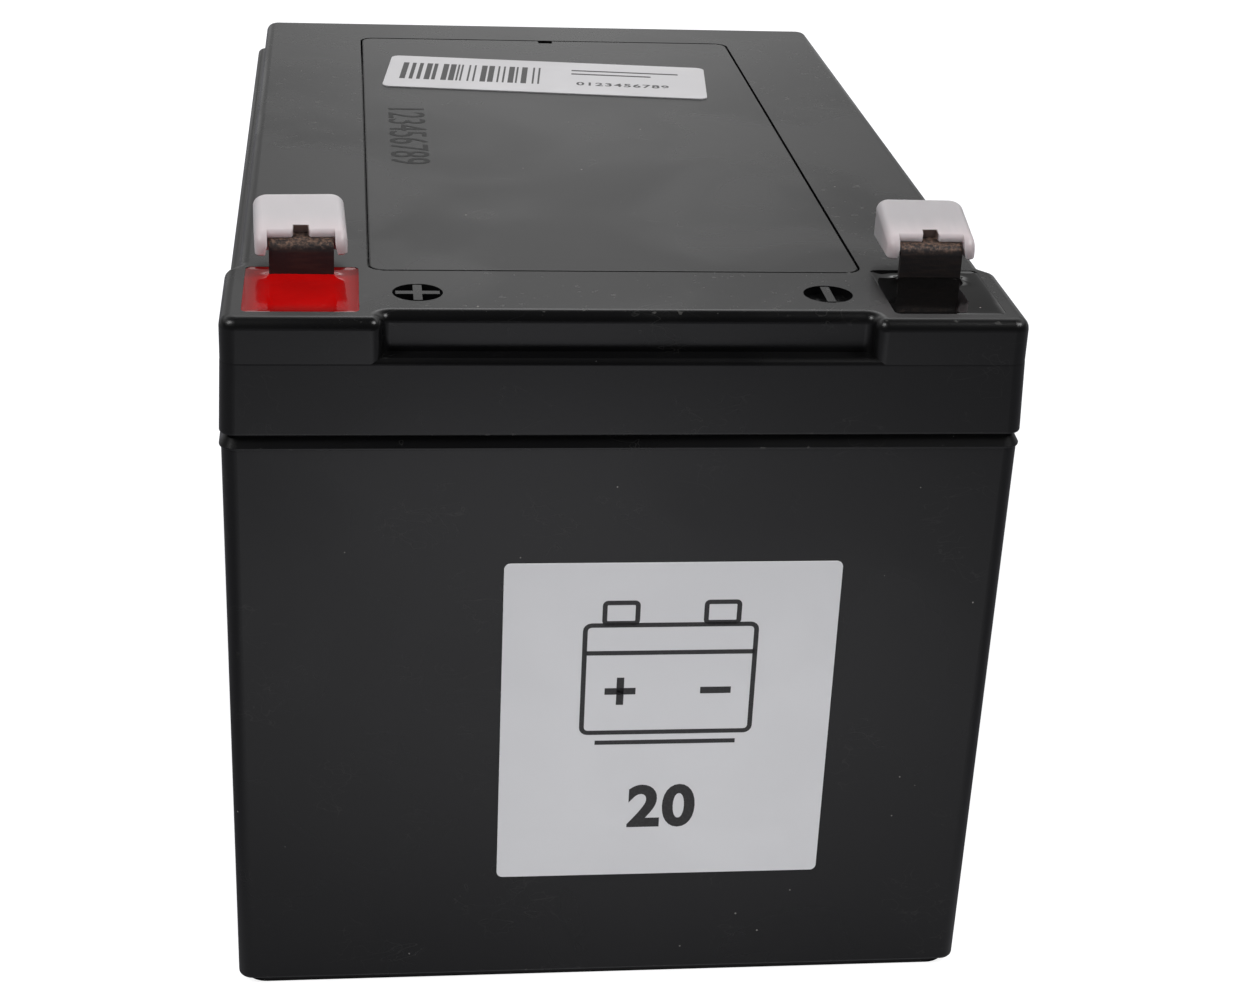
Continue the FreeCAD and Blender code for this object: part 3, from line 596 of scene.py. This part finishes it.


# Terminal caps.
# Each is a small moulded sleeve of soft, milky polyethylene, pushed over the blade for transport.
# Light goes some way into it. It is greyer to the rear. The right-hand cap's rear is a painted
# shade, darker than the left one's, and the notch in its front edge is painted dark brown as
# painted shade.
cap_front = (0.71, 0.63, 0.645, 1)
cap_rear_left = (0.60, 0.57, 0.585, 1)
cap_rear_right_painted_shade = (0.50, 0.475, 0.49, 1)
cap_speck = (0.42, 0.36, 0.33, 1)
cap_dust = {"Spacing": 3.0, "Speck": 0.12, "Share": 0.15}
cap_rough = (0.30, 0.42)
cap_scatter = (1.2, 1.1, 1.1)
flow_stretch = (1.4, 0.35, 0.8)
notch_shade_brown = (0.110, 0.072, 0.060, 1)
notch_end = 2.15
notch_half = 0.85
notch_lean = 0.035


def notch_painted_shade(tree, parts):
    """Mask of the notch in a cap's front edge, which is painted dark brown as painted shade."""
    inward = calculate(tree, "SUBTRACT", parts["Y"], strip_y / MM)
    middle = calculate(tree, "MULTIPLY_ADD", inward, notch_lean, well_x / MM)
    off = calculate(tree, "SUBTRACT", calculate(tree, "ABSOLUTE", parts["X"]), middle)
    aside = calculate(tree, "ABSOLUTE", off)
    narrow = remap(tree, aside, notch_half + 0.22, notch_half + 0.04)
    short = remap(tree, inward, notch_end + 0.16, notch_end + 0.02)
    return calculate(tree, "MULTIPLY", narrow, short)


def make_milky_plastic():
    """Waxy translucent plastic: light scatters below the surface, with flow marks and dust."""
    material, tree, shader, place = new_material(
        "milky_plastic", IOR=1.5, Subsurface_Weight=0.7, Subsurface_Scale=MM,
        Subsurface_Radius=cap_scatter, Transmission_Weight=0.05,
    )
    parts = split_place(tree, place)
    flow = add_noise(tree, change_place(tree, "MULTIPLY", place, flow_stretch), 0.5, 2.0)
    specks = place_group(tree, settled_dust, Place=place, **cap_dust)
    depth = calculate(tree, "SUBTRACT", parts["Y"], 1.0)
    mixed = calculate(tree, "MULTIPLY_ADD", flow, 2.0, depth)
    rear = remap(tree, mixed, strip_y / MM - 0.5, strip_y / MM + 5.5)
    # Painted shade: the right-hand cap's rear gets a darker grey than the left one's.
    right = remap(tree, parts["X"], -10.0, 10.0)
    back = blend_colours(tree, right, cap_rear_left, cap_rear_right_painted_shade)
    tint = blend_colours(tree, rear, cap_front, back)
    # Painted shade: the notch is painted dark brown.
    tint = blend_colours(tree, notch_painted_shade(tree, parts), tint, notch_shade_brown)
    tint = blend_colours(tree, calculate(tree, "MULTIPLY", specks, 0.35), tint, cap_speck)
    tree.links.new(tint, shader.inputs["Base Color"])
    tree.links.new(remap(tree, flow, 0.2, 0.8, *cap_rough), shader.inputs["Roughness"])
    grain = place_group(tree, moulded_grain, Place=place, Size=0.7)
    set_bump(tree, shader, grain, 0.3, 0.012)
    return material


milky_plastic = make_milky_plastic()
finish_node("positive_terminal_cap", milky_plastic)
finish_node("negative_terminal_cap", milky_plastic)


# Front label.
# A square of white film is stuck on the front wall. A plain outline of a battery block and a bold
# number are printed on it in black.
wall_foot_level, wall_top_level = 0.9, 78.3
wall_foot, wall_top = 75.3, 75.6
film_thick = 0.15
ink_thick = 0.012
label_centre = (6.7, 39.6)
front_white = (0.90, 0.90, 0.91, 1)
front_shade = (0.86, 0.86, 0.87, 1)
film_dust = {"Spacing": 6.0, "Speck": 0.16, "Share": 0.14}
film_speck = (0.2, 0.19, 0.18, 1)
ink_full = (0.017, 0.016, 0.017, 1)
ink_worn = (0.030, 0.029, 0.030, 1)
sharpest_mitre = 0.3
thin_line, thick_line = 0.62, 0.95
picture_lift = 6.2
number_height, number_weight, number_spacing = 6.6 * MM, 0.035, 1.08
number_drop = 12.6 * MM


def on_front_wall(points):
    """Puts flat artwork on the film: x stays, y is height, and depth follows the wall's slope."""
    x, y, z = (points / MM).T
    slope = (wall_top - wall_foot) / (wall_top_level - wall_foot_level)
    wall = wall_foot + slope * (y + label_centre[1] - wall_foot_level)
    depth = -(wall + film_thick + z)
    return np.stack([x + label_centre[0], depth, y + label_centre[1]], 1) * MM


def ribbon_solid(path, width, thickness, closed=False):
    """Line of even width: each point p gives p + m and p - m, with a depth along Z.

    m = n w / (2 n.a), where n is the unit normal between the two directions that meet there, w the
    width and n.a the cosine of half their turn.
    """
    path = np.array(path, float)
    count = len(path)
    ahead = np.roll(path, -1, 0) - path
    ahead /= np.linalg.norm(ahead, axis=1)[:, None] + 1e-12
    behind = np.roll(ahead, 1, 0)
    if not closed:
        behind[0] = ahead[0]
        ahead[-1] = behind[-1]
    mean = ahead + behind
    mean /= np.linalg.norm(mean, axis=1)[:, None]
    normal = np.stack([-mean[:, 1], mean[:, 0]], 1)
    stretch = 1 / np.maximum((mean * ahead).sum(1), sharpest_mitre)
    move = normal * (stretch * width / 2)[:, None]
    flat = np.concatenate([path + move, path - move])
    low = np.concatenate([flat, np.zeros((2 * count, 1))], 1)
    high = np.concatenate([flat, np.full((2 * count, 1), thickness)], 1)
    up = 2 * count
    faces = []
    for i in range(count if closed else count - 1):
        j = (i + 1) % count
        a, b, c, d = i, j, count + j, count + i
        faces += [(a, b, c, d), (d + up, c + up, b + up, a + up)]
        faces += [(a + up, b + up, b, a), (d, c, c + up, d + up)]
    if not closed:
        for i in (0, count - 1):
            faces.append((i, count + i, count + i + up, i + up))
    return np.concatenate([low, high]) * MM, faces


def box_path(left, bottom, right, top, corner):
    """Outline of a rectangle with rounded corners."""
    outline = rounded_outline((right - left) / 2, (top - bottom) / 2, corner, 0, 5)
    return outline + ((left + right) / 2, (bottom + top) / 2)


block_lines = [
    (box_path(-11.0, -7.5, 11.0, 8.2, 0.8), thin_line, True),
    ([(-11.0, 4.2), (11.0, 4.2)], thin_line, False),
    (box_path(-8.6, 8.5, -4.4, 11.4, 0.4), thin_line, True),
    (box_path(4.4, 8.5, 8.6, 11.4, 0.4), thin_line, True),
    ([(-8.2, -1.4), (-4.2, -1.4)], thick_line, False),
    ([(-6.2, -3.4), (-6.2, 0.6)], thick_line, False),
    ([(4.2, -1.4), (8.2, -1.4)], thick_line, False),
    ([(-9.2, -9.0), (9.2, -9.0)], thin_line, False),
]
printed = []
for path, width, closed in block_lines:
    path = np.array(path, float) + (0, picture_lift)
    printed.append(ribbon_solid(path, width, ink_thick, closed))
number_points, number_faces = text_solid(
    "20", number_height, ink_thick * MM, number_weight, number_spacing
)
number_points[:, 1] -= number_drop
printed.append((number_points, number_faces))
label_points, label_faces = join_solids(printed)
label_ink = make_ink("label_ink", 1.45, 0.45, 3.0, (0.35, 0.75), ink_full, ink_worn)
new_piece("front_print", on_front_wall(label_points), label_faces, label_ink)


def make_label_film(name, white, shade):
    """Matt coated film: faint fibre mottling, a little handling grey and a few specks."""
    material, tree, shader, place = new_material(name, IOR=1.45)
    mottle = place_group(tree, moulded_grain, Place=place, Size=0.9)
    film = place_group(tree, handling_film, Place=place, Size=16.0)
    specks = place_group(tree, settled_dust, Place=place, **film_dust)
    tint = blend_colours(tree, calculate(tree, "MULTIPLY", film, 0.6), white, shade)
    tint = blend_colours(tree, calculate(tree, "MULTIPLY", specks, 0.5), tint, film_speck)
    tree.links.new(tint, shader.inputs["Base Color"])
    tree.links.new(remap(tree, film, 0.0, 1.0, 0.42, 0.55), shader.inputs["Roughness"])
    set_bump(tree, shader, mottle, 0.3, 0.01)
    return material


finish_node("front_label", make_label_film("front_film", front_white, front_shade))


# Code label.
# A smaller sticker on the vent cover carries a plain bar pattern, a row of digits and two rules,
# all in the same ink.
code_centre = (-1.6, 37.9)
code_turn = math.radians(-6.0)
code_top = 95.15
code_white = (0.62, 0.61, 0.625, 1)
code_shade = (0.57, 0.56, 0.575, 1)
bar_field = (-23.6, -1.0, -4.8, 5.4)
bar_module = 0.30
bar_draws = 60
bar_seed = 7
digits_height, digits_weight, digits_spacing = 2.0 * MM, 0.02, 1.15
digits_centre = (12.4 * MM, -3.6 * MM)
rules = ((4.6, 4.0, 21.5), (2.4, 4.0, 17.0))
rule_width = 0.7


def on_cover(points):
    """Turns flat artwork by the sticker's angle and lays it on the film."""
    turned = turn_flat(points, code_turn)
    return turned + np.array([code_centre[0], code_centre[1], code_top]) * MM


def bar_pattern(left, right, bottom, top):
    """Upright bars: widths and gaps are small multiples of one module, from a fixed random row."""
    draw = np.random.default_rng(bar_seed)
    widths = draw.choice([1, 1, 2, 3], bar_draws) * bar_module
    gaps = draw.choice([1, 2, 2, 3], bar_draws) * bar_module
    starts = left + np.concatenate([[0], np.cumsum(widths + gaps)[:-1]])
    bars = []
    for start, width in zip(starts, widths):
        if start + width < right:
            x = start + width / 2
            bars.append(ribbon_solid([(x, bottom), (x, top)], width, ink_thick))
    return bars


artwork = bar_pattern(*bar_field)
digits_points, digits_faces = text_solid(
    "0123456789", digits_height, ink_thick * MM, digits_weight, digits_spacing
)
digits_points[:, :2] += digits_centre
artwork.append((digits_points, digits_faces))
for y, left, right in rules:
    artwork.append(ribbon_solid([(left, y), (right, y)], rule_width, ink_thick))
code_points, code_faces = join_solids(artwork)
new_piece("code_print", on_cover(code_points), code_faces, label_ink)
finish_node("code_label", make_label_film("code_film", code_white, code_shade))


# Sealed inner pieces.
# Rubber valves and rings, pasted lead plates with cast straps, and glass fibre mats. None of them
# shows from outside, and each still has its own finish.
def make_plain_finish(name, first, second, size, rough_range, depth):
    """Two tones by noise of a given size, with roughness and relief from the same noise."""
    material, tree, shader, place = new_material(name)
    noise = add_noise(tree, place, 1 / size, 4.0)
    tint = blend_colours(tree, remap(tree, noise, 0.3, 0.7), first, second)
    tree.links.new(tint, shader.inputs["Base Color"])
    tree.links.new(remap(tree, noise, 0.3, 0.7, *rough_range), shader.inputs["Roughness"])
    grain = place_group(tree, moulded_grain, Place=place, Size=size / 3)
    set_bump(tree, shader, grain, 0.7, depth)
    return material


valve_rubber = make_plain_finish(
    "valve_rubber", (0.02, 0.02, 0.02, 1), (0.03, 0.03, 0.03, 1), 2.0, (0.6, 0.8), 0.02
)
red_plates = make_plain_finish(
    "lead_oxide_paste", (0.07, 0.025, 0.014, 1), (0.11, 0.045, 0.026, 1), 3.0, (0.75, 0.95), 0.06
)
grey_plates = make_plain_finish(
    "sponge_lead_paste", (0.15, 0.155, 0.165, 1), (0.22, 0.225, 0.235, 1), 3.0, (0.55, 0.8), 0.06
)
glass_fibre = make_plain_finish(
    "glass_fibre", (0.72, 0.72, 0.70, 1), (0.80, 0.80, 0.79, 1), 1.2, (0.85, 0.98), 0.05
)
for name in nodes:
    if name.startswith("vent_valve") or name.endswith("seal_ring"):
        finish_node(name, valve_rubber)
    elif name.startswith("positive_plates"):
        finish_node(name, red_plates)
    elif name.startswith("negative_plates"):
        finish_node(name, grey_plates)
    elif name.startswith("glass_mats"):
        finish_node(name, glass_fibre)


# Floor and light.
# The battery stands on a sheet that is lit from below, as on a product table, so that it looks even
# to the camera. Its colour is a painted reflection: bright in an oval in front of the battery and
# dark further off, which only reflections and bounced light see. In an oval just in front of the
# battery it also gives off a painted glow that the camera doesn't see. A pale wall and a bank of
# lamps are behind it, the room in front is dark, and two large soft lamps stand high on the left
# and on the right.
floor_half = 4.0
table_glow = 0.89
pool_glow = 0.34
reflection_patch_centre, reflection_patch_reach = (5.0, -250.0), (150.0, 280.0)
reflection_patch_bright, reflection_patch_dark = (0.90, 0.90, 0.95, 1), (0.25, 0.25, 0.27, 1)
glow_centre, glow_reach = (6.0, -195.0), (140.0, 155.0)
white = (1.0, 1.0, 1.0, 1)


def oval_distance(tree, place, centre, reach):
    """Distance from a centre on the floor, as a share of the reach along X and along Y."""
    moved = change_place(tree, "ADD", place, (-centre[0], -centre[1], 0.0))
    scaled = change_place(tree, "MULTIPLY", moved, (1 / reach[0], 1 / reach[1], 1.0))
    made = add_node(tree, "ShaderNodeVectorMath", {0: scaled}, operation="LENGTH")
    return made.outputs["Value"]


floor_mesh = bpy.data.meshes.new("studio_floor")
floor_corners = [
    (-floor_half, -floor_half, 0), (floor_half, -floor_half, 0),
    (floor_half, floor_half, 0), (-floor_half, floor_half, 0),
]
floor_mesh.from_pydata(floor_corners, [], [(0, 1, 2, 3)])
studio_floor = bpy.data.objects.new("studio_floor", floor_mesh)
bpy.context.scene.collection.objects.link(studio_floor)
floor_with_painted_light, tree, shader, place = new_material("floor_with_painted_light", Roughness=0.9, IOR=1.2)
# Painted reflection: the floor's colour is bright in an oval in front of the battery and dark
# further off.
away = oval_distance(tree, place, reflection_patch_centre, reflection_patch_reach)
painted_reflection_tone = blend_colours(tree, remap(tree, away, 0.0, 1.0), reflection_patch_bright, reflection_patch_dark)
tree.links.new(painted_reflection_tone, shader.inputs["Base Color"])
# Painted light: in an oval just in front of the battery the floor glows for every ray but the
# camera's.
from_glow = oval_distance(tree, place, glow_centre, glow_reach)
pool_light = remap(tree, from_glow, 0.35, 1.0, pool_glow, 0.0)
seen = add_node(tree, "ShaderNodeLightPath").outputs["Is Camera Ray"]
glow = add_node(tree, "ShaderNodeMix", {0: seen, 2: pool_light, 3: table_glow}, data_type="FLOAT")
tree.links.new(glow.outputs[0], shader.inputs["Emission Strength"])
shader.inputs["Emission Color"].default_value = white
floor_mesh.materials.append(floor_with_painted_light)

lamp_strength = 1.45
lamp_spread = math.radians(24)
lamps = (("lamp_left", -64, 50, 1.05), ("lamp_right", 70, 50, 1.0))
for name, azimuth, elevation, share in lamps:
    lamp = bpy.data.objects.new(name, bpy.data.lights.new(name, "SUN"))
    bpy.context.scene.collection.objects.link(lamp)
    lamp.data.energy = lamp_strength * share
    lamp.data.angle = lamp_spread
    across = math.radians(azimuth)
    up = math.radians(elevation)
    level = math.cos(up)
    toward = Vector((math.sin(across) * level, -math.cos(across) * level, math.sin(up)))
    lamp.rotation_euler = toward.to_track_quat("Z", "Y").to_euler()

wall_middle = 0.085
wall_strength, dark_room = 0.82, 0.03
bank_strength = 2.7
world = bpy.data.worlds.new("studio_room")
bpy.context.scene.world = world
world.use_nodes = True
tree = world.node_tree
direction = add_node(tree, "ShaderNodeTexCoord").outputs["Generated"]
parts = split_place(tree, direction)
behind = remap(tree, parts["Y"], -0.15, 0.45)
aside = calculate(tree, "ABSOLUTE", calculate(tree, "SUBTRACT", parts["X"], wall_middle))
middle = remap(tree, aside, 0.22, 0.0, 0.46, 1.0)
low = remap(tree, parts["Z"], 0.26, 0.13, 0.46, 1.35)
bank_foot = remap(tree, parts["Z"], 0.36, 0.52)
bank_top = remap(tree, parts["Z"], 0.90, 0.62)
lamp_bank = calculate(tree, "MULTIPLY", bank_foot, bank_top)
height = calculate(tree, "MULTIPLY_ADD", lamp_bank, bank_strength, low)
fading = remap(tree, parts["Z"], 0.95, 0.6, 0.3, 1.0)
wall_light = calculate(tree, "MULTIPLY", calculate(tree, "MULTIPLY", behind, middle), height)
wall_light = calculate(tree, "MULTIPLY", wall_light, fading)
room = calculate(tree, "MULTIPLY_ADD", wall_light, wall_strength, dark_room)
background = tree.nodes["Background"]
tree.links.new(room, background.inputs["Strength"])
background.inputs["Color"].default_value = white
bpy.context.scene.view_settings.view_transform = "Standard"
